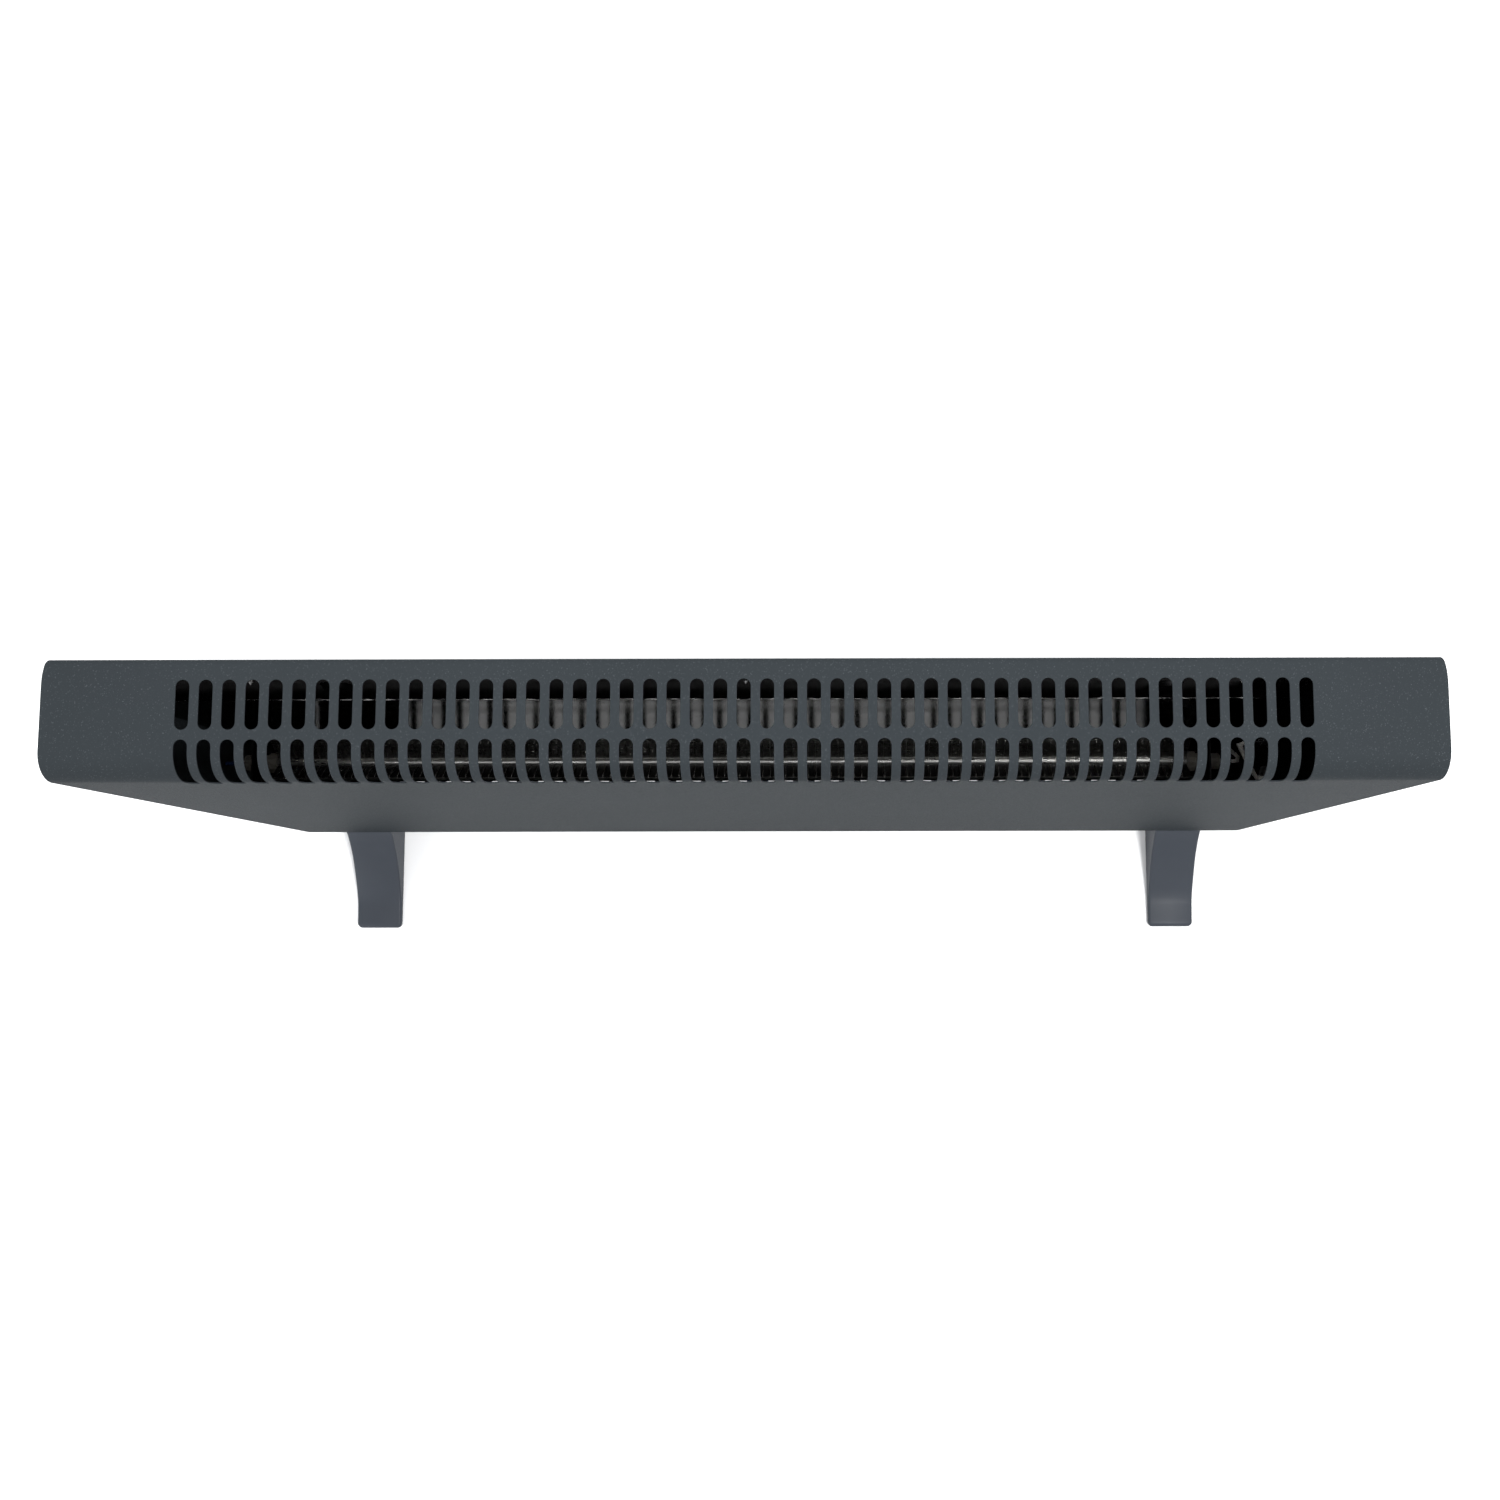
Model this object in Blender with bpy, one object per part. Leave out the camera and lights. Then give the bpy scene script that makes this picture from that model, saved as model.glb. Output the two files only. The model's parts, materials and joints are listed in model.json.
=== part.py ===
"""Panel convector heater: a slotted sheet-steel case on two moulded feet, with an X-section
heating element, a heat shield and a control compartment behind the right end panel.
Metres, +Z up, front faces -Y, origin on the floor under the middle of the case."""
import math

import bmesh
import bpy
from mathutils import Matrix, Vector

MM = 0.001

# Case
WIDTH = 830 * MM
DEPTH = 72 * MM
BOTTOM = 46 * MM
TOP = 476 * MM
SHEET = 0.8 * MM
GAP = 0.3 * MM
FRONT = -DEPTH / 2
REAR = DEPTH / 2
FRONT_RADIUS = 17 * MM
CROWN = 0.25 * MM          # rise of the front shell's middle over its ends
REAR_RADIUS = 4 * MM
RIM = 31.5 * MM            # rear flange plane, inside the wall plane so that screw heads sit below it
HALF = WIDTH / 2
SIDE_IN = 411.8 * MM       # inner face of the end panels
SIDE_OUT = 413.3 * MM      # outer face of the end panels

# Slots
SLOTS = 49
PITCH = 13.8 * MM
SLOT_W = 8.2 * MM
SLOT_END = 3.5 * MM        # length of a slot's tapered end
GROUP = 7                  # slots per run of sheet

# Feet
FOOT_X = 364 * MM
FOOT_W = 40.3 * MM
FOOT_REACH = 121 * MM
FOOT_BASE = 1.5 * MM

# Element, shield, bulkhead
ELEMENT_Y = -1 * MM
ELEMENT_Z = 271 * MM
ELEMENT_X = (-354 * MM, 312 * MM)
SHIELD_Y = 22 * MM
SHIELD_TOP = 415 * MM
SHIELD_SHEET = 0.6 * MM
BULKHEAD_X = 352 * MM

# Controls in the right end panel
TRAY_Y = 24 * MM
TRAY_Z = (300 * MM, 440 * MM)
TRAY_FLOOR = 398 * MM
KNOB_Z = 405 * MM
LAMP_Z = 372 * MM
POWER_Z = 348 * MM
HEAT_Z = 318 * MM
ROCKER_X = 395 * MM
ROCKER_REST = 12.0         # degrees from the rocker's middle position

COLOURS = {
    "paint": ((0.075, 0.088, 0.098), 0.0, 0.42),
    "plastic": ((0.11, 0.12, 0.135), 0.0, 0.45),
    "dark_plastic": ((0.02, 0.021, 0.023), 0.0, 0.4),
    "galvanised": ((0.55, 0.56, 0.57), 1.0, 0.35),
    "aluminium": ((0.72, 0.72, 0.71), 1.0, 0.3),
    "ceramic": ((0.75, 0.72, 0.66), 0.0, 0.5),
    "steel": ((0.5, 0.5, 0.5), 1.0, 0.3),
    "brass": ((0.7, 0.52, 0.25), 1.0, 0.3),
    "rubber": ((0.025, 0.025, 0.025), 0.0, 0.8),
    "white_nylon": ((0.8, 0.79, 0.75), 0.0, 0.5),
    "amber": ((0.85, 0.32, 0.05), 0.0, 0.2),
    "brown_lead": ((0.16, 0.06, 0.03), 0.0, 0.5),
    "blue_lead": ((0.03, 0.09, 0.3), 0.0, 0.5),
    "white_lead": ((0.7, 0.69, 0.66), 0.0, 0.55),
}


def clear_scene():
    for obj in list(bpy.data.objects):
        bpy.data.objects.remove(obj, do_unlink=True)


def material(slot):
    found = bpy.data.materials.get(slot)
    if found:
        return found
    colour, metallic, rough = COLOURS[slot]
    made = bpy.data.materials.new(slot)
    made.use_nodes = True
    shader = made.node_tree.nodes["Principled BSDF"]
    shader.inputs["Base Color"].default_value = (*colour, 1.0)
    shader.inputs["Metallic"].default_value = metallic
    shader.inputs["Roughness"].default_value = rough
    return made


def finish(name, bm, slot):
    """Turn a closed bmesh into a named object with its faces outwards."""
    bmesh.ops.recalc_face_normals(bm, faces=bm.faces)
    mesh = bpy.data.meshes.new(name)
    bm.to_mesh(mesh)
    bm.free()
    mesh.materials.append(material(slot))
    obj = bpy.data.objects.new(name, mesh)
    bpy.context.collection.objects.link(obj)
    return obj


def add_box(bm, low, high):
    size = [h - l for l, h in zip(low, high)]
    middle = [(l + h) / 2 for l, h in zip(low, high)]
    place = Matrix.Translation(middle) @ Matrix.Diagonal((*size, 1.0))
    bmesh.ops.create_cube(bm, size=1.0, matrix=place)


def box(name, low, high, slot):
    bm = bmesh.new()
    add_box(bm, low, high)
    return finish(name, bm, slot)


def add_prism(bm, outline, axis, low, high):
    """Extrude an outline along X, Y or Z. The outline's points are the other two coordinates."""
    def point(u, v, w):
        return {"X": (w, u, v), "Y": (u, w, v), "Z": (u, v, w)}[axis]
    a = [bm.verts.new(point(u, v, low)) for u, v in outline]
    b = [bm.verts.new(point(u, v, high)) for u, v in outline]
    bm.faces.new(a)
    bm.faces.new(list(reversed(b)))
    count = len(outline)
    for i in range(count):
        j = (i + 1) % count
        bm.faces.new((a[i], b[i], b[j], a[j]))


def prism(name, outline, axis, low, high, slot):
    bm = bmesh.new()
    add_prism(bm, outline, axis, low, high)
    return finish(name, bm, slot)


def circle(radius, count, centre=(0.0, 0.0), turn=0.0):
    points = []
    for i in range(count):
        angle = turn + 2 * math.pi * i / count
        points.append((centre[0] + radius * math.cos(angle), centre[1] + radius * math.sin(angle)))
    return points


def add_lathe(bm, profile, origin, axis, count):
    """Turn (radius, distance) pairs about an axis through origin. Zero radius closes an end.
    A profile that starts and ends at the same point makes a ring."""
    axis = Vector(axis).normalized()
    turn = Vector((0, 0, 1)).rotation_difference(axis).to_matrix().to_4x4()
    place = Matrix.Translation(origin) @ turn
    ring = profile[0] == profile[-1]
    pairs = profile[:-1] if ring else profile
    rows = []
    for radius, along in pairs:
        if radius == 0:
            rows.append([bm.verts.new(place @ Vector((0, 0, along)))])
            continue
        row = []
        for i in range(count):
            angle = 2 * math.pi * (i + 0.5) / count
            at = Vector((radius * math.cos(angle), radius * math.sin(angle), along))
            row.append(bm.verts.new(place @ at))
        rows.append(row)
    steps = len(rows) if ring else len(rows) - 1
    for k in range(steps):
        a = rows[k]
        b = rows[(k + 1) % len(rows)]
        for i in range(count):
            j = (i + 1) % count
            if len(a) == 1:
                bm.faces.new((a[0], b[i], b[j]))
            elif len(b) == 1:
                bm.faces.new((a[i], b[0], a[j]))
            else:
                bm.faces.new((a[i], b[i], b[j], a[j]))


def lathe(name, profile, origin, axis, slot, count=12):
    bm = bmesh.new()
    add_lathe(bm, profile, origin, axis, count)
    return finish(name, bm, slot)


def combine(obj, cutter, operation):
    """Apply one exact boolean and remove the cutter."""
    modifier = obj.modifiers.new("cut", "BOOLEAN")
    modifier.operation = operation
    modifier.solver = "EXACT"
    modifier.object = cutter
    bpy.context.view_layer.update()
    graph = bpy.context.evaluated_depsgraph_get()
    result = bpy.data.meshes.new_from_object(obj.evaluated_get(graph))
    obj.modifiers.clear()
    old = obj.data
    obj.data = result
    bpy.data.meshes.remove(old)
    bpy.data.objects.remove(cutter, do_unlink=True)
    return obj


def cutter_of(parts):
    """One cutter made of prisms: (outline, axis, low, high)."""
    bm = bmesh.new()
    for outline, axis, low, high in parts:
        add_prism(bm, outline, axis, low, high)
    return finish("cutter", bm, "steel")


def cut(obj, parts):
    return combine(obj, cutter_of(parts), "DIFFERENCE")


def add_to(obj, parts):
    return combine(obj, cutter_of(parts), "UNION")


def rectangle(low, high):
    return [(low[0], low[1]), (high[0], low[1]), (high[0], high[1]), (low[0], high[1])]


def arc(centre, radius, start, stop, steps):
    points = []
    for i in range(steps + 1):
        angle = math.radians(start + (stop - start) * i / steps)
        points.append((centre[0] + radius * math.cos(angle), centre[1] + radius * math.sin(angle)))
    return points


def inset(path, amount):
    """Offset an open path to its left, with mitred corners."""
    sides = []
    for (ay, az), (by, bz) in zip(path, path[1:]):
        length = math.hypot(by - ay, bz - az)
        sides.append((-(bz - az) / length, (by - ay) / length))
    moved = []
    for i, (y, z) in enumerate(path):
        a = sides[max(i - 1, 0)]
        b = sides[min(i, len(sides) - 1)]
        scale = amount / (1 + a[0] * b[0] + a[1] * b[1])
        moved.append((y + (a[0] + b[0]) * scale, z + (a[1] + b[1]) * scale))
    return moved


def sheet(name, path, half_width, slots, rows, slot, thickness=SHEET, width=SLOT_W, x0=None, crown=0.0):
    """Folded sheet: an outer path in (y, z) run across the width, with rows of slots through it.
    slots are the slots' centres across, rows are (start, stop) lengths along the path.
    The sheet's other face lies to the left of the path's direction."""
    inner = inset(path, thickness)
    marks = [0.0]
    for (ay, az), (by, bz) in zip(path, path[1:]):
        marks.append(marks[-1] + math.hypot(by - ay, bz - az))
    starts = [a + SLOT_END for a, b in rows]
    stops = [b - SLOT_END for a, b in rows]
    levels = sorted({round(v, 7) for v in marks + starts + stops})

    def place(x, t, skin):
        k = 0
        while k < len(marks) - 2 and t > marks[k + 1] + 1e-9:
            k += 1
        f = (t - marks[k]) / (marks[k + 1] - marks[k])
        line = inner if skin else path
        rise = crown * (1 - (x / half_width) ** 2)
        return (x, line[k][0] + f * (line[k + 1][0] - line[k][0]),
                line[k][1] + f * (line[k + 1][1] - line[k][1]) + rise)

    left = -half_width if x0 is None else x0
    edges = [left]
    runs = []
    if slots:
        pitch = slots[1] - slots[0]
        for i in range(0, len(slots), GROUP):
            edges.append(slots[i] - pitch / 2)
            runs.append(slots[i:i + GROUP])
        edges.append(slots[-1] + pitch / 2)
    edges.append(half_width)

    def same(a, b):
        return abs(a - b) < 1e-6

    faces = []
    for a, b in zip(levels, levels[1:]):
        row_in = any(s < b - 1e-7 and a < e - 1e-7 and a > s - 1e-6 for s, e in zip(starts, stops))
        opens = [r for r, s in zip(rows, starts) if same(s, b)]
        closes = [r for r, e in zip(rows, stops) if same(e, a)]
        for c, (lo, hi) in enumerate(zip(edges, edges[1:])):
            inside = slots and 0 < c <= len(runs)
            if not inside or not (row_in or opens or closes):
                faces.append([(lo, a), (hi, a), (hi, b), (lo, b)])
                continue
            run = runs[c - 1]
            h = width / 2
            q = width / 4
            if row_in:
                bars = [lo] + [v for x in run for v in (x - h, x + h)] + [hi]
                for k in range(0, len(bars), 2):
                    p, r = bars[k], bars[k + 1]
                    faces.append([(p, a), (r, a), (r, b), (p, b)])
            elif opens and closes:
                end = closes[0][1]
                begin = opens[0][0]
                before = [(lo, b), (lo, a)]
                for x in run:
                    faces.append([(x - q, end), (x + q, end), (x + q, begin), (x - q, begin)])
                    near = [(x - h, a), (x - q, end), (x - q, begin), (x - h, b)]
                    faces.append(before + near)
                    before = [(x + h, b), (x + q, begin), (x + q, end), (x + h, a)]
                faces.append(before + [(hi, a), (hi, b)])
            else:
                loop = [(lo, a)]
                if closes:
                    end = closes[0][1]
                    for x in run:
                        loop += [(x - h, a), (x - q, end), (x + q, end), (x + h, a)]
                loop += [(hi, a), (hi, b)]
                if opens:
                    begin = opens[0][0]
                    for x in reversed(run):
                        loop += [(x + h, b), (x + q, begin), (x - q, begin), (x - h, b)]
                loop += [(lo, b)]
                faces.append(loop)

    bm = bmesh.new()
    verts = {}

    def vert(key, skin):
        tag = (round(key[0], 7), round(key[1], 7), skin)
        if tag not in verts:
            verts[tag] = bm.verts.new(place(key[0], key[1], skin))
        return verts[tag]

    edge_count = {}
    for loop in faces:
        bm.faces.new([vert(p, 0) for p in loop])
        bm.faces.new([vert(p, 1) for p in reversed(loop)])
        for p, r in zip(loop, loop[1:] + loop[:1]):
            one = (round(p[0], 7), round(p[1], 7))
            two = (round(r[0], 7), round(r[1], 7))
            edge_count[(one, two)] = (p, r)
    for (one, two), (p, r) in edge_count.items():
        if (two, one) not in edge_count:
            bm.faces.new((vert(p, 0), vert(p, 1), vert(r, 1), vert(r, 0)))
    bmesh.ops.triangulate(bm, faces=[f for f in bm.faces if len(f.verts) > 4], ngon_method="BEAUTY")
    return finish(name, bm, slot)


def tube(name, points, radius, slot, sides=6):
    """Round lead along a polyline, with mitred bends and closed ends."""
    points = [Vector(p) for p in points]
    bm = bmesh.new()
    rings = []
    first = (points[1] - points[0]).normalized()
    up = Vector((0, 0, 1)) if abs(first.z) < 0.9 else Vector((0, 1, 0))
    side = first.cross(up).normalized()
    for i, point in enumerate(points):
        before = (point - points[max(i - 1, 0)]).normalized() if i else first
        after = (points[i + 1] - point).normalized() if i + 1 < len(points) else before
        along = (before + after).normalized()
        side = (side - side.dot(before) * before).normalized()
        other = before.cross(side)
        ring = []
        for k in range(sides):
            angle = 2 * math.pi * k / sides
            offset = (side * math.cos(angle) + other * math.sin(angle)) * radius
            offset -= before * (offset.dot(along) / before.dot(along))
            ring.append(bm.verts.new(point + offset))
        rings.append(ring)
    bm.faces.new(rings[0])
    bm.faces.new(rings[-1])
    for a, b in zip(rings, rings[1:]):
        for k in range(sides):
            j = (k + 1) % sides
            bm.faces.new((a[k], b[k], b[j], a[j]))
    return finish(name, bm, slot)


def screw(name, seat, axis, head_r, head_h, shank_r, shank_l, slot="steel", count=10):
    """Pan-head screw. seat is the underside of the head, axis points from the shank to the head."""
    profile = [(0, head_h), (head_r * 0.75, head_h), (head_r, head_h * 0.55), (head_r, 0),
               (shank_r, 0), (shank_r, -shank_l + shank_r), (0, -shank_l)]
    return lathe(name, profile, seat, axis, slot, count)


# ---------------------------------------------------------------- case

def case_path():
    """Outer line of the front shell, from its rear flange over the top and down the front."""
    path = [(RIM, TOP - 28 * MM), (RIM, TOP - 12.5 * MM), (REAR, TOP - 8 * MM)]
    path += arc((REAR - REAR_RADIUS, TOP - REAR_RADIUS), REAR_RADIUS, 0, 90, 3)
    path += arc((FRONT + FRONT_RADIUS, TOP - FRONT_RADIUS), FRONT_RADIUS, 90, 180, 4)
    path += arc((FRONT + 4 * MM, BOTTOM + 4 * MM), 4 * MM, 180, 270, 2)
    path += [(FRONT + 14 * MM, BOTTOM)]
    return path


def along_path(path, y=None, z=None):
    """Length along the path to the point on the flat top with this y, or on the front with this z."""
    total = 0.0
    for (ay, az), (by, bz) in zip(path, path[1:]):
        length = math.hypot(by - ay, bz - az)
        if y is not None and abs(az - TOP) < 1e-9 and abs(bz - TOP) < 1e-9 and by <= y <= ay:
            return total + (ay - y)
        if z is not None and abs(ay - FRONT) < 1e-9 and abs(by - FRONT) < 1e-9 and bz <= z <= az:
            return total + (az - z)
        total += length
    raise ValueError("not on the path")


def slot_centres():
    return [(i - (SLOTS - 1) / 2) * PITCH for i in range(SLOTS)]


def make_case():
    path = case_path()
    rear_row = (along_path(path, y=23.4 * MM), along_path(path, y=-6.5 * MM))
    front_row = (along_path(path, y=-12.2 * MM), along_path(path, z=TOP - 23 * MM))
    sheet("front_shell", path, HALF, slot_centres(), [rear_row, front_row], "paint", crown=CROWN)

    z = BOTTOM + SHEET + GAP
    floor = [(-30.5 * MM, z), (RIM, z), (RIM, 66 * MM)]
    grille = sheet("bottom_grille", floor, 411 * MM, slot_centres(), [(3.0 * MM, 52.5 * MM)], "galvanised")
    holes = []
    for x in (-FOOT_X, FOOT_X):
        for y in (-14 * MM, 14 * MM):
            holes.append((circle(2.4 * MM, 8, (x, y)), "Z", 40 * MM, 60 * MM))
    for x in (-300 * MM, 0.0, 300 * MM):
        holes.append((circle(2.0 * MM, 8, (x, 58 * MM)), "Y", 25 * MM, 40 * MM))
    cut(grille, holes)

    outer = RIM + GAP + SHEET
    back = [(outer, 49.5 * MM), (outer, 66 * MM), (REAR, 69 * MM), (REAR, 444 * MM), (outer, 447 * MM),
            (outer, 463 * MM)]
    vents = [(i - 10) * 33 * MM for i in range(21)]
    start = 30 * MM
    panel = sheet("back_panel", back, 411.5 * MM, vents, [(start, start + 60 * MM)], "galvanised",
                  width=6 * MM)
    holes = []
    for x in (-270 * MM, 270 * MM):
        keyhole = [(-2.5, 12), (-2.5, 4.3), (-5, 0), (-3.5, -3.5), (0, -5), (3.5, -3.5), (5, 0), (2.5, 4.3),
                   (2.5, 12), (0, 14.5)]
        holes.append(([(x + u * MM, 390 * MM + v * MM) for u, v in keyhole], "Y", 30 * MM, 40 * MM))
    for x in (-300 * MM, 0.0, 300 * MM):
        for z in (58 * MM, 455 * MM):
            holes.append((circle(2.0 * MM, 8, (x, z)), "Y", 30 * MM, 40 * MM))
    cut(panel, holes)
    shell = bpy.data.objects["front_shell"]
    cut(shell, [(circle(2.0 * MM, 8, (x, 455 * MM)), "Y", 28 * MM, 34 * MM) for x in (-0.3, 0.0, 0.3)])
    for n, (x, z) in enumerate([(x, z) for z in (455 * MM, 58 * MM) for x in (-0.3, 0.0, 0.3)], 1):
        seat = (x, outer + GAP, z)
        screw(f"back_screw_{n}", seat, (0, 1, 0), 3.6 * MM, 1.9 * MM, 1.6 * MM, 9 * MM, count=8)


def end_outline():
    outline = [(-34.5 * MM, 51 * MM), (-31 * MM, 47.5 * MM), (35.7 * MM, 47.5 * MM), (35.7 * MM, 440 * MM),
               (30 * MM, 446 * MM), (30 * MM, TOP - 4 * MM), (27.5 * MM, TOP - 1.5 * MM)]
    outline += arc((FRONT + FRONT_RADIUS, TOP - FRONT_RADIUS), FRONT_RADIUS - 1.5 * MM, 90, 180, 4)
    return outline


def make_end_panels():
    for name, sign in (("left_end_panel", -1), ("right_end_panel", 1)):
        low, high = sorted((sign * SIDE_IN, sign * SIDE_OUT))
        panel = prism(name, end_outline(), "X", low, high, "paint")
        reach = sorted((sign * (SIDE_IN + 0.5 * MM), sign * 399.5 * MM))
        lips = [(rectangle((-34.3 * MM, 80 * MM), (-33.1 * MM, 230 * MM)), "X", *reach),
                (rectangle((28.2 * MM, 80 * MM), (29.4 * MM, 430 * MM)), "X", *reach)]
        add_to(panel, lips)
        span = (sign * 400 * MM, sign * 420 * MM)
        holes = [(circle(2.0 * MM, 8, (-29 * MM, 265 * MM)), "X", *sorted(span)),
                 (circle(2.0 * MM, 8, (12 * MM, 120 * MM)), "X", *sorted(span))]
        if sign > 0:
            holes.append((rectangle((-TRAY_Y, TRAY_Z[0]), (TRAY_Y, TRAY_Z[1])), "X", *sorted(span)))
            holes.append((circle(7.3 * MM, 12, (-14 * MM, 84 * MM)), "X", *sorted(span)))
        cut(panel, holes)
        side = "left" if sign < 0 else "right"
        for n, (y, z) in enumerate(((-29 * MM, 265 * MM), (12 * MM, 120 * MM)), 1):
            seat = (sign * (SIDE_OUT + GAP), y, z)
            screw(f"{side}_end_screw_{n}", seat, (sign, 0, 0), 3.4 * MM, 1.3 * MM, 1.6 * MM, 8 * MM,
                  count=8)


def make_frame():
    hat = [(-33.3, 245), (-33.3, 252), (-24, 255), (-24, 275), (-33.3, 278), (-33.3, 285)]
    sheet("front_stiffener", [(y * MM, z * MM) for y, z in hat], 411 * MM, [], [], "galvanised")
    shield = [(SHIELD_Y + 12 * MM, 72 * MM), (SHIELD_Y, 80 * MM), (SHIELD_Y, SHIELD_TOP)]
    sheet("heat_shield", shield, 350 * MM, [], [], "galvanised", thickness=SHIELD_SHEET,
          x0=-405 * MM)
    x = BULKHEAD_X
    corner = [(x, -34.2), (x + 1 * MM, -34.2), (x + 1 * MM, 28.5), (x + 16 * MM, 28.5), (x + 16 * MM, 29.5),
              (x, 29.5)]
    outline = [(u, v * MM) for u, v in corner]
    bulkhead = prism("control_bulkhead", outline, "Z", 52 * MM, 452 * MM, "galvanised")
    round_corner = [(-40 * MM, 440 * MM), (-33 * MM, 440 * MM), (-24 * MM, 452.5 * MM), (-24 * MM, 460 * MM),
                    (-40 * MM, 460 * MM)]
    reach = (x - 5 * MM, x + 5 * MM)
    holes = [(round_corner, "X", *reach),
             (rectangle((-40 * MM, 243 * MM), (-22 * MM, 287 * MM)), "X", *reach),
             (circle(6.4 * MM, 12, (4 * MM, 238 * MM)), "X", *reach),
             (circle(6.4 * MM, 12, (-20 * MM, 330 * MM)), "X", *reach),
             (circle(1.9 * MM, 8, (-12 * MM, 76 * MM)), "X", *reach)]
    cut(bulkhead, holes)


# ---------------------------------------------------------------- element

def make_element():
    core = 5.0 * MM
    outline = []
    for u, v in ((17, 20), (-17, 20), (-17, -20), (17, -20)):
        tip = Vector((u * MM, v * MM))
        along = tip.normalized()
        across = Vector((-along.y, along.x)) * 1.0 * MM
        root = along * math.sqrt(core ** 2 - across.length ** 2)
        for point in (root - across, tip - across, tip + across, root + across):
            outline.append((ELEMENT_Y + point.x, ELEMENT_Z + point.y))
    low, high = ELEMENT_X
    prism("element_body", outline, "X", low, high, "aluminium")
    for side, end, sign in (("left", low, -1), ("right", high, 1)):
        start = end + sign * GAP
        centre = (start, ELEMENT_Y, ELEMENT_Z)
        ring = [(2.4, 0), (7.5, 0), (7.5, 6), (6, 6.5), (6, 24), (2.4, 24), (2.4, 0)]
        lathe(f"element_insulator_{side}", [(r * MM, d * MM) for r, d in ring], centre, (sign, 0, 0),
              "ceramic", 12)
        pin = [(0, 0), (2.1, 0), (2.1, 31), (1.4, 32), (0, 32)]
        lathe(f"element_pin_{side}", [(r * MM, d * MM) for r, d in pin], centre, (sign, 0, 0), "steel", 10)
        plate = end + sign * 14 * MM
        far = plate + sign * 1.2 * MM
        toe = plate + sign * 14 * MM
        rear = SHIELD_Y - SHIELD_SHEET - GAP
        shape = [(plate, -16 * MM), (far, -16 * MM), (far, rear - 1.2 * MM), (toe, rear - 1.2 * MM),
                 (toe, rear), (plate, rear)]
        bracket = prism(f"element_bracket_{side}", shape, "Z", ELEMENT_Z - 15 * MM, ELEMENT_Z + 15 * MM,
                        "galvanised")
        reach = sorted((plate - sign * 3 * MM, far + sign * 3 * MM))
        cut(bracket, [(circle(6.4 * MM, 12, (ELEMENT_Y, ELEMENT_Z)), "X", *reach)])
    body = lathe("thermal_cutout", [(0, 0), (8 * MM, 0), (8 * MM, 4 * MM), (6.5 * MM, 4 * MM),
                                    (6.5 * MM, 9 * MM), (0, 9 * MM)],
                 (BULKHEAD_X - GAP, 6 * MM, 352 * MM), (-1, 0, 0), "dark_plastic", 12)
    blades = []
    for y in (1.5 * MM, 8.5 * MM):
        blades.append((rectangle((y, 349 * MM), (y + 1 * MM, 355 * MM)), "X", BULKHEAD_X - 18 * MM,
                       BULKHEAD_X - 8 * MM))
    add_to(body, blades)


# ---------------------------------------------------------------- controls

def make_control_panel():
    floor = TRAY_FLOOR - 2 * MM
    back = SIDE_IN - GAP
    low, high = TRAY_Z
    tray = box("control_panel", (floor, -TRAY_Y - 1.5 * MM, low - 1.5 * MM),
               (back, TRAY_Y + 1.5 * MM, high + 1.5 * MM), "dark_plastic")
    flange = rectangle((-29 * MM, low - 8 * MM), (27.5 * MM, high + 8 * MM))
    add_to(tray, [(flange, "X", back - 2 * MM, back)])
    reach = (floor - 5 * MM, floor + 5 * MM)
    holes = [(rectangle((-TRAY_Y, low), (TRAY_Y, high)), "X", TRAY_FLOOR, back + 5 * MM)]
    cut(tray, holes)
    holes = [(circle(4.9 * MM, 12, (0, KNOB_Z)), "X", *reach), (circle(3.2 * MM, 10, (0, LAMP_Z)), "X", *reach)]
    for z in (POWER_Z, HEAT_Z):
        holes.append((rectangle((-7.3 * MM, z - 10.8 * MM), (7.3 * MM, z + 10.8 * MM)), "X", *reach))
    cut(tray, holes)
    lamp = [(0, 0), (2.8, 0), (2.8, 8.6), (4.4, 8.6), (4.4, 9.4), (3.2, 10.9), (0, 11.6)]
    lathe("indicator_lens", [(r * MM, d * MM) for r, d in lamp], (TRAY_FLOOR - 8.3 * MM, 0, LAMP_Z), (1, 0, 0),
          "amber", 12)


def make_thermostat():
    body = box("thermostat_body", (372 * MM, -14 * MM, KNOB_Z - 14 * MM),
               (TRAY_FLOOR - 2.3 * MM, 14 * MM, KNOB_Z + 14 * MM), "white_nylon")
    centre = (0.0, KNOB_Z)
    add_to(body, [(circle(4.5 * MM, 12, centre), "X", 390 * MM, 402.5 * MM)])
    cut(body, [(circle(3.3 * MM, 12, centre), "X", 386 * MM, 410 * MM)])
    nut = [(5.5, 0), (8, 0), (8, 2.2), (5.5, 2.2), (5.5, 0)]
    lathe("thermostat_nut", [(r * MM, d * MM) for r, d in nut], (TRAY_FLOOR + GAP, 0, KNOB_Z), (1, 0, 0),
          "steel", 6)
    shaft = [(0, 0), (3, 0), (3, 22), (2.4, 23), (0, 23)]
    lathe("thermostat_shaft", [(r * MM, d * MM) for r, d in shaft], (387 * MM, 0, KNOB_Z), (1, 0, 0),
          "steel", 12)
    knob = [(0, 16), (14.8, 16), (16.2, 14.5), (17.2, 3.5), (19, 2), (19, 0), (11, 0), (11, 4.5), (3.2, 5),
            (3.2, 11.6), (0, 11.6)]
    lathe("thermostat_knob", [(r * MM, d * MM) for r, d in knob], (399 * MM, 0, KNOB_Z), (1, 0, 0), "plastic",
          24)


def rocker_outline():
    """Rocker section about its pivot: u points out of the panel, v points up."""
    return [(4.6, 6.5), (2.6, 0), (4.6, -6.5), (2, -7.7), (-2, -7.7), (-4, -4), (-4, 4), (-2, 7.7), (2, 7.7)]


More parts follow.
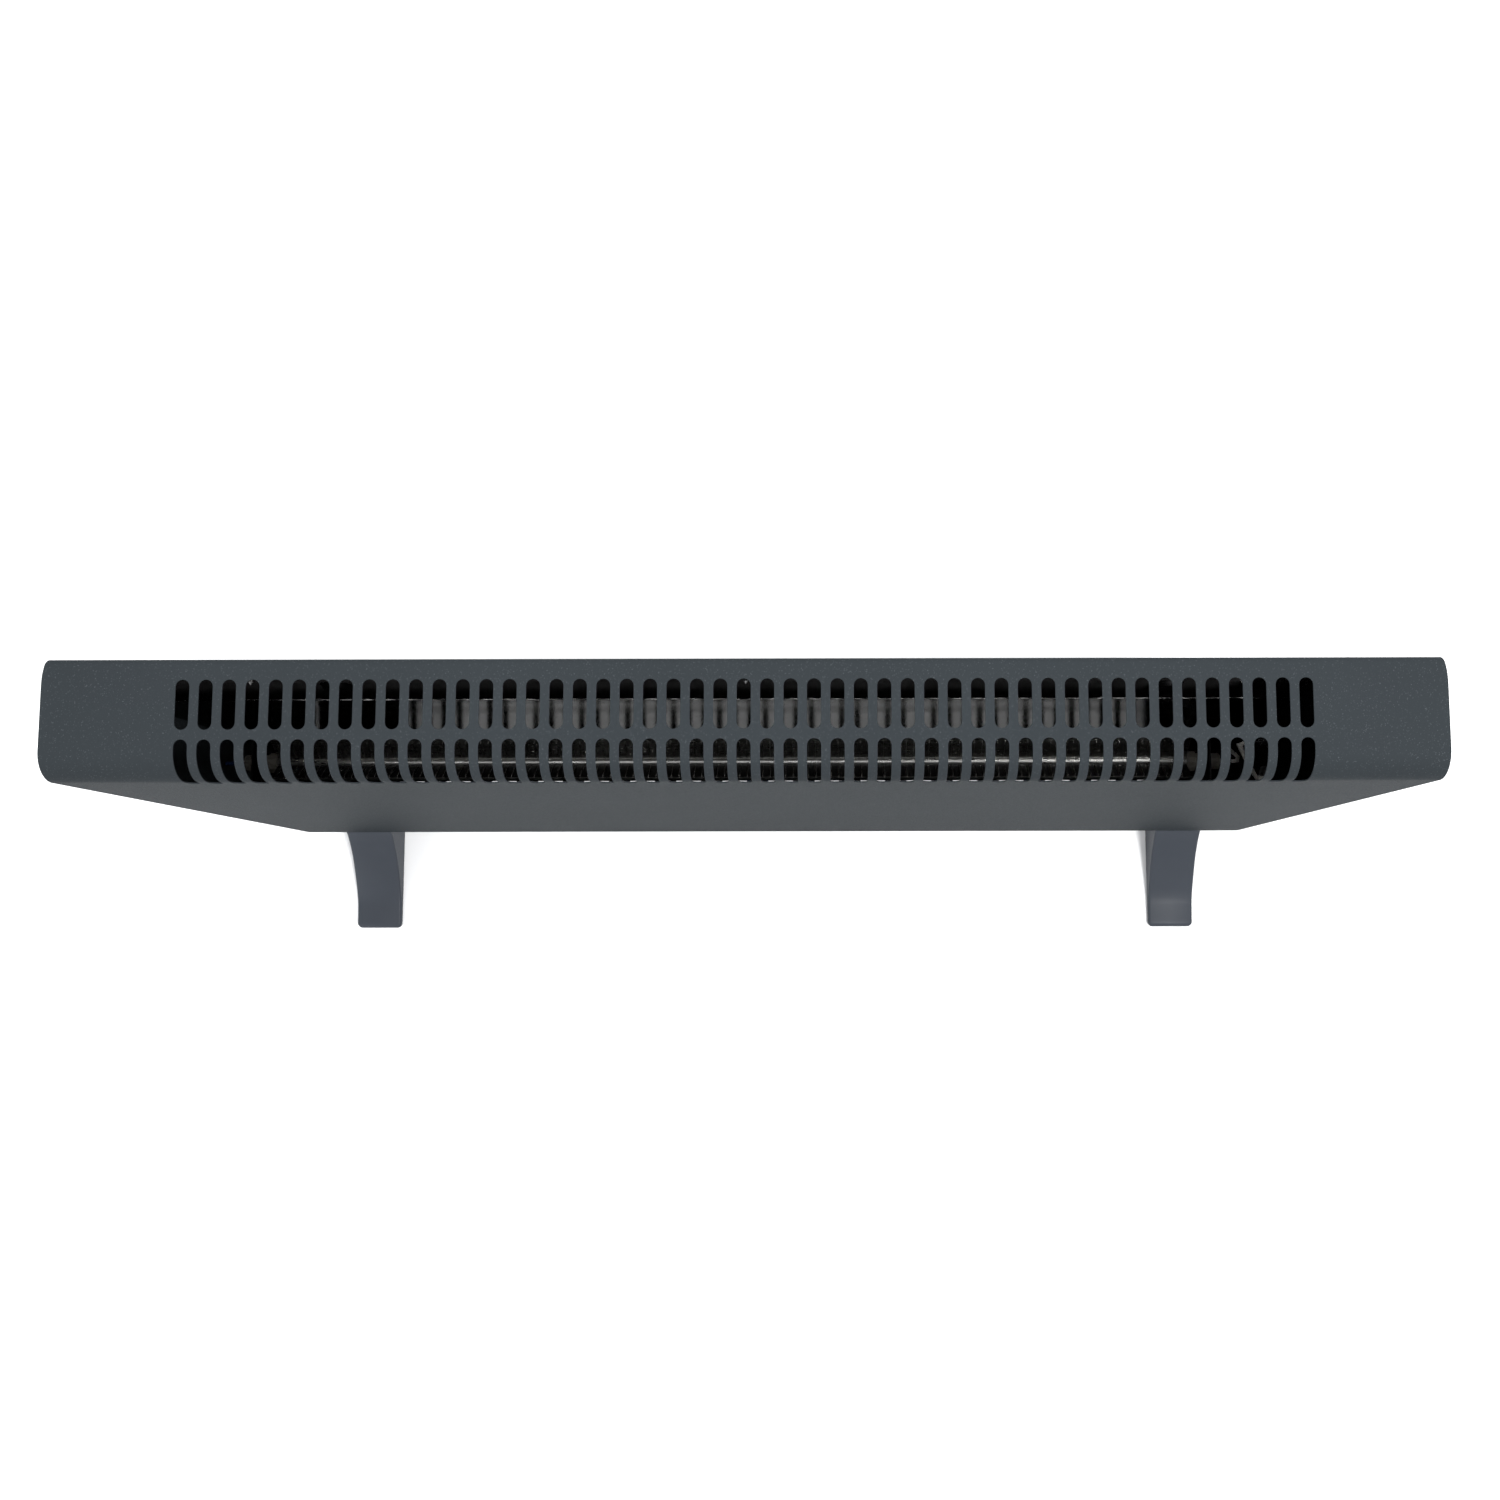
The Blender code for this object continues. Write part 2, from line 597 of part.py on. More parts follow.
def make_switches():
    for name, z in (("power", POWER_Z), ("heat", HEAT_Z)):
        body = box(f"{name}_switch_body", (378 * MM, -6.8 * MM, z - 10.3 * MM),
                   (TRAY_FLOOR + 1 * MM, 6.8 * MM, z + 10.3 * MM), "dark_plastic")
        bezel = rectangle((-8.8 * MM, z - 12.5 * MM), (8.8 * MM, z + 12.5 * MM))
        add_to(body, [(bezel, "X", TRAY_FLOOR + GAP, TRAY_FLOOR + 1.8 * MM)])
        pocket = rectangle((-5.3 * MM, z - 8.3 * MM), (5.3 * MM, z + 8.3 * MM))
        cut(body, [(pocket, "X", 388.4 * MM, 410 * MM)])
        turn = math.radians(-ROCKER_REST)
        outline = []
        for u, v in rocker_outline():
            outline.append((u * math.cos(turn) - v * math.sin(turn), u * math.sin(turn) + v * math.cos(turn)))
        rocker = prism(f"{name}_rocker", [(u * MM, v * MM) for u, v in outline], "Y", -4.9 * MM, 4.9 * MM,
                       "dark_plastic")
        rocker.location = (ROCKER_X, 0, z)


def make_compartment():
    block = box("terminal_block", (353.3 * MM, -12 * MM, 100 * MM), (367 * MM, 12 * MM, 118 * MM), "white_nylon")
    mouths = [(circle(2.4 * MM, 8, (y, 109 * MM)), "X", 362 * MM, 370 * MM) for y in (-7 * MM, 0, 7 * MM)]
    cut(block, mouths)
    stud = [(0, 0), (1.6, 0), (1.6, 3.3), (3.5, 3.3), (3.5, 4.6), (1.6, 4.6), (1.6, 14), (0, 14)]
    lathe("earth_stud", [(r * MM, d * MM) for r, d in stud], (BULKHEAD_X - 2 * MM, -12 * MM, 76 * MM), (1, 0, 0),
          "brass", 8)
    nut = [(1.9, 0), (3.8, 0), (3.8, 2.6), (1.9, 2.6), (1.9, 0)]
    lathe("earth_nut", [(r * MM, d * MM) for r, d in nut], (BULKHEAD_X + 4.0 * MM, -12 * MM, 76 * MM), (1, 0, 0),
          "brass", 6)
    gland = [(4, 0), (6.9, 0), (6.9, 7.8), (9.5, 7.8), (9.5, 9), (4, 9), (4, 0)]
    lathe("cord_gland", [(r * MM, d * MM) for r, d in gland], (405.8 * MM, -14 * MM, 84 * MM), (1, 0, 0),
          "rubber", 12)
    for n, (y, z) in enumerate(((4 * MM, 238 * MM), (-20 * MM, 330 * MM)), 1):
        ring = [(3.6, 0), (8.6, 0), (8.6, 1.8), (6.1, 1.8), (6.1, 4), (3.6, 4), (3.6, 0)]
        lathe(f"bulkhead_grommet_{n}", [(r * MM, d * MM) for r, d in ring], (BULKHEAD_X - 2.1 * MM, y, z),
              (1, 0, 0), "rubber", 12)


def make_tilt_switch():
    """Gravity switch: a pendulum hangs from a pin between the cheeks of a folded bracket."""
    pivot_y = -2 * MM
    pivot_z = 206 * MM
    start = BULKHEAD_X + 1.3 * MM
    legs = [(start, 168), (start + 1.5 * MM, 168), (start + 1.5 * MM, 214.5), (start + 13 * MM, 214.5),
            (start + 13 * MM, 190), (start + 14.5 * MM, 190), (start + 14.5 * MM, 216), (start, 216)]
    outline = [(x, z * MM) for x, z in legs]
    bracket = prism("tilt_bracket", outline, "Y", pivot_y - 8 * MM, pivot_y + 8 * MM, "white_nylon")
    cut(bracket, [(circle(1.8 * MM, 8, (pivot_y, pivot_z)), "X", start + 0.5 * MM, start + 20 * MM)])
    lathe("tilt_pin", [(0, 0), (1.5 * MM, 0), (1.5 * MM, 13.6 * MM), (0, 13.6 * MM)],
          (start + 0.9 * MM, pivot_y, pivot_z), (1, 0, 0), "steel", 10)
    drop = 22 * MM
    outline = [(0.0, 4.5 * MM), (-3.2 * MM, 3.2 * MM), (-4.5 * MM, 0.0), (-2 * MM, -4 * MM),
               (-2 * MM, -drop + 7 * MM), (-6 * MM, -drop + 4 * MM), (-7.5 * MM, -drop), (-5.3 * MM, -drop - 5.3 * MM),
               (0.0, -drop - 7.5 * MM)]
    outline += [(-u, v) for u, v in reversed(outline[1:-1])]
    bob = prism("tilt_pendulum", outline, "X", -3 * MM, 3 * MM, "brass")
    cut(bob, [(circle(1.9 * MM, 10), "X", -5 * MM, 5 * MM)])
    bob.location = (start + 7.2 * MM, pivot_y, pivot_z)


def make_leads():
    """Internal wiring, each lead ending just short of the terminal it serves."""
    x = BULKHEAD_X
    runs = {
        "lead_supply": ("brown_lead", [(371, 7, 109), (379, 16, 112), (381, 20, 150), (379, 20, 325), (371, 8, 348),
                                       (373, 1, 348), (377.2, 1, 348)]),
        "lead_switch": ("white_lead", [(377, 0, 323), (368, 0, 323), (364, 4, 334), (360, 10, 372), (366, 8, 405),
                                       (368, 4, 408), (371.3, 4, 408)]),
        "lead_thermostat": ("white_lead", [(371.3, -4, 402), (367, -4, 402), (362, -12, 392), (360, -20, 345), (358, -20, 330),
                                           (346, -20, 330), (338, -14, 342), (328, 0, 352), (333.2, 2, 352)]),
        "lead_element": ("white_lead", [(333.2, 9, 352), (327, 9, 352), (322, 12, 343), (328, 12, 310), (337, 7, 292),
                                        (348, 1, 281), (349.4, -1, 275), (346.6, -1, 271)]),
        "lead_return": ("blue_lead", [(-387.8, -1, 271), (-394, -1, 269), (-398, 2, 240), (-398, 12, 120),
                                      (-390, 14, 106), (-360, 15, 104), (320, 15, 104), (334, 14, 112),
                                      (343, 4, 200), (347, 4, 238), (358, 4, 238), (371, 16, 232),
                                      (373, 14, 150), (375, 2, 112), (368.6, 0, 109)]),
    }
    for name, (slot, points) in runs.items():
        tube(name, [(px * MM, py * MM, pz * MM) for px, py, pz in points], 1.5 * MM, slot)


# ---------------------------------------------------------------- feet

def foot_sections():
    """(y, half width, height) from the tip to the middle."""
    half = FOOT_W / 2
    plan = [(121, 15.6, 5.0), (120.1, 18.1, 6.3), (118.5, 19.6, 6.9), (116, 20.15, 7.1), (97, 20.15, 8.2),
            (89, 20.15, 10.6), (81, 20.15, 14), (70, 20.15, 19), (58, 20.15, 25.2), (47, 20.15, 33),
            (40, 20.15, 39.2), (35, 20.15, 44), (31, 20.15, 45.7)]
    return [(y * MM, min(w * MM, half), h * MM) for y, w, h in plan]


def make_foot(name, centre):
    rings = []
    bm = bmesh.new()
    sections = foot_sections()
    full = [(-y, w, h) for y, w, h in sections] + [(y, w, h) for y, w, h in reversed(sections)]
    for y, w, h in full:
        crown = 0.9 * MM if h < 45 * MM else 0.0
        shoulder = h - crown
        points = [(-w, FOOT_BASE), (-w, shoulder - 1.6 * MM), (-w + 1.5 * MM, shoulder), (0, h),
                  (w - 1.5 * MM, shoulder), (w, shoulder - 1.6 * MM), (w, FOOT_BASE)]
        rings.append([bm.verts.new((centre + u, y, v)) for u, v in points])
    bm.faces.new(rings[0])
    bm.faces.new(rings[-1])
    for a, b in zip(rings, rings[1:]):
        for k in range(7):
            j = (k + 1) % 7
            bm.faces.new((a[k], b[k], b[j], a[j]))
    foot = finish(name, bm, "plastic")
    pocket = rectangle((centre - 16.5 * MM, -31 * MM), (centre + 16.5 * MM, 31 * MM))
    cut(foot, [(pocket, "Z", -5 * MM, 40 * MM)])
    cut(foot, [(circle(2.4 * MM, 8, (centre, y * MM)), "Z", 35 * MM, 50 * MM) for y in (-14, 14)])
    return foot


def make_feet():
    for side, centre in (("left", -FOOT_X), ("right", FOOT_X)):
        make_foot(f"{side}_foot", centre)
        for place, sign in (("front", -1), ("rear", 1)):
            seat = (centre, sign * 14 * MM, 40 * MM - GAP)
            screw(f"{side}_foot_screw_{place}", seat, (0, 0, -1), 4.2 * MM, 2.6 * MM, 2 * MM, 15 * MM, count=10)
            y = sign * 104 * MM
            pad = [(centre - 14 * MM, y - 6 * MM), (centre - 11 * MM, y - 9 * MM), (centre + 11 * MM, y - 9 * MM),
                   (centre + 14 * MM, y - 6 * MM), (centre + 14 * MM, y + 6 * MM), (centre + 11 * MM, y + 9 * MM),
                   (centre - 11 * MM, y + 9 * MM), (centre - 14 * MM, y + 6 * MM)]
            prism(f"{side}_foot_pad_{place}", pad, "Z", 0.0, FOOT_BASE - GAP, "rubber")


def main():
    clear_scene()
    make_case()
    make_end_panels()
    make_frame()
    make_element()
    make_control_panel()
    make_thermostat()
    make_switches()
    make_compartment()
    make_tilt_switch()
    make_leads()
    make_feet()


main()
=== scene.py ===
"""Looks for the panel convector heater: finer shells, feet, element and controls built around the
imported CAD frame, with procedural materials, a pale floor, soft light and the photograph's view."""
import json
import math

import bmesh
import bpy
from mathutils import Matrix, Vector

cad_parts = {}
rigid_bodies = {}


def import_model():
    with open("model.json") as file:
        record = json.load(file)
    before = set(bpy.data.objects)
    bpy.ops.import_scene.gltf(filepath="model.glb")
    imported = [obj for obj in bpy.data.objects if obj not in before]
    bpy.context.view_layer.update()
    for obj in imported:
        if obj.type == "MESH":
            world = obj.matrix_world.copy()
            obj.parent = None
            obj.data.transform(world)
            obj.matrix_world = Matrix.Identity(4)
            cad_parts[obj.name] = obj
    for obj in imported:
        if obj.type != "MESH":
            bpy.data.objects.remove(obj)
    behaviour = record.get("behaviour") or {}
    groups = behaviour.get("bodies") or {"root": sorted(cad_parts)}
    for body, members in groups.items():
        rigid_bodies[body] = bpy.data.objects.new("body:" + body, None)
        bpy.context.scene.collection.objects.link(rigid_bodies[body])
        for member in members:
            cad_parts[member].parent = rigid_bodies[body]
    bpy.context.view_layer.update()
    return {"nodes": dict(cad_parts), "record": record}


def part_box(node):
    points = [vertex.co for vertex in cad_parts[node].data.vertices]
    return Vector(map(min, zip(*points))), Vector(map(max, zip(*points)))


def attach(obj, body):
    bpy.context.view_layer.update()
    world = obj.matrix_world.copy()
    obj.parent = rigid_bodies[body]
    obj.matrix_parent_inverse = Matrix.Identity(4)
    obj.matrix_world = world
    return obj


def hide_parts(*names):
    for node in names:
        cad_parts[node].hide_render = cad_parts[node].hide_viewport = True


MM = 0.001

for old in list(bpy.data.objects):
    bpy.data.objects.remove(old, do_unlink=True)

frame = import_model()
NODES = frame["nodes"]

# Slots and sheet, as in the CAD model
SLOTS = 49
PITCH = 13.8 * MM
SLOT_W = 8.2 * MM
GROUP = 7
SHEET = 0.8 * MM
CROWN = 0.25 * MM
REAR = 36 * MM
KEYHOLE_X = 270 * MM
KEYHOLE_Z = 391 * MM
RECESS_FLOOR = 398.05 * MM

# Only here: the case's sides draw in towards the rear, and slot ends are round
NARROWING = 2.6 * MM
NARROWING_POWER = 2.2
SLOT_END_STEPS = 8

# Dial
TICKS = 11
SWEEP = 270

TINY = 1e-9
NEAR = 1e-6


# ---------------------------------------------------------------- shader helpers

class Shader:
    """A Principled material and the few nodes that its texture needs."""

    def __init__(self, name, colour, rough, metallic=0.0, **fixed):
        self.material = bpy.data.materials.new(name)
        self.material.use_nodes = True
        self.tree = self.material.node_tree
        self.surface = self.tree.nodes["Principled BSDF"]
        self.surface.inputs["Base Color"].default_value = (*colour, 1.0)
        self.surface.inputs["Roughness"].default_value = rough
        self.surface.inputs["Metallic"].default_value = metallic
        for socket, value in fixed.items():
            self.surface.inputs[socket.replace("_", " ")].default_value = value
        self.where = self.tree.nodes.new("ShaderNodeTexCoord").outputs["Object"]

    def node(self, kind, **inputs):
        made = self.tree.nodes.new(kind)
        for socket, value in inputs.items():
            target = made.inputs[socket.replace("_", " ")]
            if isinstance(value, bpy.types.NodeSocket):
                self.tree.links.new(value, target)
            else:
                target.default_value = value
        return made

    def stretch(self, scale):
        return self.node("ShaderNodeMapping", Vector=self.where, Scale=scale).outputs["Vector"]

    def noise(self, scale, detail=2.0, rough=0.5, vector=None):
        made = self.node("ShaderNodeTexNoise", Vector=vector or self.where, Scale=scale, Detail=detail,
                         Roughness=rough)
        return made.outputs["Fac"]

    def cells(self, scale, vector=None):
        return self.node("ShaderNodeTexVoronoi", Vector=vector or self.where, Scale=scale)

    def ramp(self, source, low, high, out_low, out_high):
        made = self.node("ShaderNodeMapRange", Value=source, From_Min=low, From_Max=high, To_Min=out_low,
                         To_Max=out_high)
        return made.outputs["Result"]

    def mix_colour(self, factor, one, two):
        made = self.tree.nodes.new("ShaderNodeMix")
        made.data_type = "RGBA"
        self.tree.links.new(factor, made.inputs[0])
        for index, value in ((6, one), (7, two)):
            if isinstance(value, bpy.types.NodeSocket):
                self.tree.links.new(value, made.inputs[index])
            else:
                made.inputs[index].default_value = (*value, 1.0)
        return made.outputs[2]

    def set(self, socket, source):
        self.tree.links.new(source, self.surface.inputs[socket])
        return self

    def bump(self, height, strength, distance):
        made = self.node("ShaderNodeBump", Height=height, Strength=strength, Distance=distance)
        return made.outputs["Normal"]


def tint(colour, amount):
    return tuple(min(c * amount, 1.0) for c in colour)


def paint():
    """Fine-textured powder coat: small rounded grains with a faint metallic glitter. Its specular
    level is far below a real coat's, so that the pale floor doesn't brighten the front face."""
    base = (0.0235, 0.0275, 0.0305)
    s = Shader("powder_coat", base, 0.6, Specular_IOR_Level=0.03, Specular_Tint=(0.3, 0.3, 0.3, 1.0))
    grain = s.noise(1150, 3.0, 0.65)
    broad = s.noise(9, 3.0, 0.55)
    tone = s.mix_colour(broad, tint(base, 0.9), tint(base, 1.1))
    flakes = s.cells(1900)
    glint = s.ramp(flakes.outputs["Color"], 0.8, 1.0, 0.0, 0.2)
    s.set("Base Color", s.mix_colour(glint, tone, (0.17, 0.185, 0.2)))
    s.set("Metallic", s.ramp(flakes.outputs["Color"], 0.7, 1.0, 0.0, 0.1))
    s.set("Roughness", s.ramp(grain, 0.3, 0.7, 0.54, 0.72))
    s.set("Normal", s.bump(grain, 0.42, 0.0003))
    return s.material


def moulded(name, colour, rough=0.4, grain_scale=1800, depth=0.2, spread=0.12, shine=0.25):
    """Moulded plastic with a fine etched grain."""
    s = Shader(name, colour, rough, Specular_IOR_Level=shine)
    grain = s.noise(grain_scale, 3.0, 0.6)
    cloud = s.noise(30, 2.0, 0.5)
    s.set("Base Color", s.mix_colour(cloud, tint(colour, 0.92), tint(colour, 1.08)))
    s.set("Roughness", s.ramp(grain, 0.3, 0.7, max(rough - spread / 2, 0.05), rough + spread / 2))
    s.set("Normal", s.bump(grain, depth, 0.0002))
    return s.material


def galvanised(name="galvanised", base=(0.42, 0.42, 0.41), low=0.05, high=0.12):
    """Zinc-coated sheet: spangle cells of slightly different tone and gloss, with ragged edges.
    The dark specular tint is a choice: it dims what the sheet mirrors at a low angle."""
    s = Shader(name, base, 0.25, 1.0, Specular_Tint=(0.22, 0.22, 0.22, 1.0))
    ragged = s.noise(700, 4.0, 0.75, s.stretch((1.0, 1.0, 0.35)))
    spangle = s.cells(150, s.stretch((1.0, 1.0, 0.7)))
    shade = s.ramp(spangle.outputs["Color"], 0.0, 1.0, 0.0, 1.0)  # one grey value per cell
    s.set("Base Color", s.mix_colour(shade, tint(base, 0.86), tint(base, 1.1)))
    s.set("Roughness", s.ramp(shade, 0.0, 1.0, low, high))
    s.set("Normal", s.bump(ragged, 0.14, 0.0002))
    return s.material


def rolled(name, colour, rough):
    """Bare metal with a fine drawn grain and a little tarnish."""
    s = Shader(name, colour, rough, 1.0)
    grain = s.noise(400, 4.0, 0.7, s.stretch((0.2, 1.0, 3.0)))
    tarnish = s.noise(60, 3.0, 0.6)
    s.set("Base Color", s.mix_colour(tarnish, tint(colour, 0.82), tint(colour, 1.1)))
    s.set("Roughness", s.ramp(grain, 0.3, 0.7, rough - 0.08, rough + 0.1))
    s.set("Normal", s.bump(grain, 0.2, 0.0002))
    return s.material


def ceramic():
    """Speckled steatite, kept dark to suit the unlit interior."""
    colour = (0.16, 0.15, 0.13)
    s = Shader("ceramic", colour, 0.55)
    speck = s.noise(900, 4.0, 0.7)
    s.set("Base Color", s.mix_colour(speck, tint(colour, 0.86), tint(colour, 1.05)))
    s.set("Normal", s.bump(speck, 0.15, 0.0002))
    return s.material


def braid():
    """Glass-braid sleeve: a fine cellular weave, darker in the gaps between cells as painted shade."""
    colour = (0.68, 0.67, 0.63)
    s = Shader("glass_braid", colour, 0.7, Sheen_Weight=0.2)
    away = s.cells(1700).outputs["Distance"]
    gap = s.ramp(away, 0.0, 0.5, 0.0, 1.0)
    # Darker towards the cell edges: painted shade in the weave's gaps.
    s.set("Base Color", s.mix_colour(gap, tint(colour, 1.1), tint(colour, 0.65)))
    s.set("Normal", s.bump(away, 0.5, 0.0003))
    return s.material


def lens():
    """Amber window of the indicator lamp."""
    s = Shader("amber_lens", (0.85, 0.3, 0.05), 0.12, Transmission_Weight=0.5, IOR=1.5)
    cloud = s.noise(700, 2.0, 0.5)
    s.set("Roughness", s.ramp(cloud, 0.3, 0.7, 0.1, 0.18))
    return s.material


MATERIAL = {
    "paint": paint(),
    "plastic": moulded("foot_plastic", (0.038, 0.043, 0.052), 0.4, 1100, 0.2, 0.1, 0.1),
    "dark_plastic": moulded("dark_plastic", (0.016, 0.017, 0.019), 0.42),
    "galvanised": galvanised(),
    "aluminium": rolled("aluminium", (0.36, 0.36, 0.35), 0.3),
    "ceramic": ceramic(),
    "steel": rolled("zinc_steel", (0.56, 0.56, 0.55), 0.3),
    "brass": rolled("brass", (0.68, 0.5, 0.24), 0.28),
    "rubber": moulded("rubber", (0.025, 0.025, 0.026), 0.75, 900, 0.3, 0.1),
    "white_nylon": moulded("white_nylon", (0.76, 0.75, 0.71), 0.45),
    "amber": lens(),
    "brown_lead": moulded("brown_lead", (0.16, 0.06, 0.03), 0.4, 600, 0.1),
    "blue_lead": moulded("blue_lead", (0.015, 0.04, 0.12), 0.4, 600, 0.1),
    "white_lead": braid(),
}
# Near-black aluminium for the element's arm webs: painted shade of the unlit inside
PAINTED_SHADE_WEB = rolled("painted_shade_web_aluminium", (0.03, 0.03, 0.029), 0.36)
# Near-black zinc for the inner parts and a darker zinc for the back panel: painted shade of the unlit
# inside
PAINTED_SHADE_ZINC = galvanised("painted_shade_zinc", (0.02, 0.02, 0.021), 0.4, 0.5)
BACK_ZINC = galvanised("back_zinc", (0.17, 0.17, 0.172), 0.42, 0.52)
PRINT = moulded("dial_print", (0.62, 0.63, 0.64), 0.5, 900, 0.05)

# Nodes whose zinc is painted darker than that of their slot: painted shade of the unlit inside of the case
PAINTED_SHADE_NODES = {"control_bulkhead": PAINTED_SHADE_ZINC, "element_bracket_left": PAINTED_SHADE_ZINC,
          "element_bracket_right": PAINTED_SHADE_ZINC, "back_panel": BACK_ZINC}


def dress_nodes():
    """Give every CAD node the detailed material of its slot, or the darker zinc that carries painted shade.
    """
    slots = {part["node"]: part["material_slot"] for part in frame["record"]["subparts"]}
    for name, obj in NODES.items():
        obj.data.materials.clear()
        obj.data.materials.append(PAINTED_SHADE_NODES.get(name, MATERIAL[slots[name]]))


# ---------------------------------------------------------------- mesh helpers

def finish(name, bm, slot, body="housing", replaces=(), smooth=40, bevel=0.0):
    """Mesh to a riding piece: faces outwards, smooth up to an angle, edges softened."""
    bmesh.ops.recalc_face_normals(bm, faces=bm.faces)
    mesh = bpy.data.meshes.new(name)
    bm.to_mesh(mesh)
    bm.free()
    mesh.materials.append(MATERIAL[slot])
    obj = bpy.data.objects.new(name, mesh)
    bpy.context.collection.objects.link(obj)
    for face in mesh.polygons:
        face.use_smooth = True
    mesh.set_sharp_from_angle(angle=math.radians(smooth))
    if bevel:
        soften = obj.modifiers.new("soften", "BEVEL")
        soften.width = bevel
        soften.segments = 2
        soften.limit_method = "ANGLE"
        soften.angle_limit = math.radians(smooth)
        soften.harden_normals = True
    even = obj.modifiers.new("even", "WEIGHTED_NORMAL")
    even.keep_sharp = True
    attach(obj, body)
    if replaces:
        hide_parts(*replaces)
    return obj


def arc(centre, radius, start, stop, steps):
    """Points along an arc between two angles in degrees."""
    points = []
    for i in range(steps + 1):
        angle = math.radians(start + (stop - start) * i / steps)
        points.append((centre[0] + radius * math.cos(angle), centre[1] + radius * math.sin(angle)))
    return points


def inset(path, amount):
    """Offset an open path to its left, with mitred corners."""
    sides = []
    for (ay, az), (by, bz) in zip(path, path[1:]):
        length = math.hypot(by - ay, bz - az)
        sides.append((-(bz - az) / length, (by - ay) / length))
    moved = []
    for i, (y, z) in enumerate(path):
        a = sides[max(i - 1, 0)]
        b = sides[min(i, len(sides) - 1)]
        scale = amount / (1 + a[0] * b[0] + a[1] * b[1])
        moved.append((y + (a[0] + b[0]) * scale, z + (a[1] + b[1]) * scale))
    return moved


def slot_centres():
    """Where each slot's middle lies in x."""
    return [(i - (SLOTS - 1) / 2) * PITCH for i in range(SLOTS)]


class Sheet:
    """Folded sheet with rows of round-ended slots, following an outer path in (y, z).

    Each row is a pair of lengths along the path. Crown lifts the middle of the width, and behind
    y = taper the sides draw in."""

    def __init__(self, path, half_width, rows, crown=0.0, taper=0.0):
        self.path = path
        self.inner = inset(path, SHEET)
        self.half = half_width
        self.rows = rows
        self.crown = crown
        self.taper = taper
        self.marks = [0.0]
        for (ay, az), (by, bz) in zip(path, path[1:]):
            self.marks.append(self.marks[-1] + math.hypot(by - ay, bz - az))

    def place(self, x, t, skin):
        """World point at x and length t along the path, on the outer (0) or inner (1) skin."""
        k = 0
        while k < len(self.marks) - 2 and t > self.marks[k + 1] + TINY:
            k += 1
        f = (t - self.marks[k]) / (self.marks[k + 1] - self.marks[k])
        line = self.inner if skin else self.path
        rise = self.crown * (1 - (x / self.half) ** 2)
        y = line[k][0] + f * (line[k + 1][0] - line[k][0])
        if self.taper and abs(x) > self.half - NEAR:
            back = max(y - self.taper, 0.0) / (REAR - self.taper)
            x -= math.copysign(NARROWING * back ** NARROWING_POWER, x)
        return (x, y, line[k][1] + f * (line[k + 1][1] - line[k][1]) + rise)

    def end_curve(self, x, base, sign):
        """Round end of the slot at x: from its left side over the tip to its right side."""
        r = SLOT_W / 2
        points = []
        for i in range(SLOT_END_STEPS + 1):
            angle = math.pi * (1 - i / SLOT_END_STEPS)
            points.append((x + r * math.cos(angle), base + sign * r * math.sin(angle)))
        return points

    def faces(self):
        """Outlines of the sheet's faces in (x, length): bars between slots, and blank stretches."""
        r = SLOT_W / 2
        starts = [a + r for a, b in self.rows]
        stops = [b - r for a, b in self.rows]
        levels = sorted({round(v, 7) for v in self.marks + starts + stops})
        slots = slot_centres()
        edges = [-self.half] + [slots[i] - PITCH / 2 for i in range(0, SLOTS, GROUP)]
        edges += [slots[-1] + PITCH / 2, self.half]
        runs = [slots[i:i + GROUP] for i in range(0, SLOTS, GROUP)]
        for a, b in zip(levels, levels[1:]):
            straight = any(s - NEAR < a and b < e + NEAR for s, e in zip(starts, stops))
            opens = any(abs(s - b) < NEAR for s in starts)
            closes = any(abs(e - a) < NEAR for e in stops)
            for c, (lo, hi) in enumerate(zip(edges, edges[1:])):
                run = runs[c - 1] if 0 < c <= len(runs) else None
                if run is None or not (straight or opens or closes):
                    yield [(lo, a), (hi, a), (hi, b), (lo, b)]
                elif straight:
                    bars = [lo] + [v for x in run for v in (x - r, x + r)] + [hi]
                    for k in range(0, len(bars), 2):
                        yield [(bars[k], a), (bars[k + 1], a), (bars[k + 1], b), (bars[k], b)]
                else:
                    low = [(lo, a)]
                    high = [(lo, b)]
                    for x in run:
                        if closes:
                            low += self.end_curve(x, a, 1)
                        if opens:
                            high += self.end_curve(x, b, -1)
                    yield low + [(hi, a), (hi, b)] + list(reversed(high))

    def build(self):
        """Both skins and the walls between them, as one closed mesh."""
        bm = bmesh.new()
        verts = {}
        sides = {}

        def tag(point):
            return (round(point[0], 7), round(point[1], 7))

        def vert(point, skin):
            key = (*tag(point), skin)
            if key not in verts:
                verts[key] = bm.verts.new(self.place(point[0], point[1], skin))
            return verts[key]

        for loop in self.faces():
            bm.faces.new([vert(p, 0) for p in loop])
            bm.faces.new([vert(p, 1) for p in reversed(loop)])
            for p, q in zip(loop, loop[1:] + loop[:1]):
                sides[(tag(p), tag(q))] = (p, q)
        for (one, two), (p, q) in sides.items():
            if (two, one) not in sides:
                bm.faces.new((vert(p, 0), vert(p, 1), vert(q, 1), vert(q, 0)))
        return bm


# ---------------------------------------------------------------- case

def length_to(path, y=None, z=None):
    """Length along a path to a y on its level stretch at the top, or to a z on its upright front."""
    top = max(p[1] for p in path)
    front = min(p[0] for p in path)
    total = 0.0
    for (ay, az), (by, bz) in zip(path, path[1:]):
        level = abs(az - top) < TINY and abs(bz - top) < TINY
        upright = abs(ay - front) < TINY and abs(by - front) < TINY
        if y is not None and level and by <= y <= ay:
            return total + ay - y
        if z is not None and upright and bz <= z <= az:
            return total + az - z
        total += math.hypot(by - ay, bz - az)
    raise ValueError("not on the path")


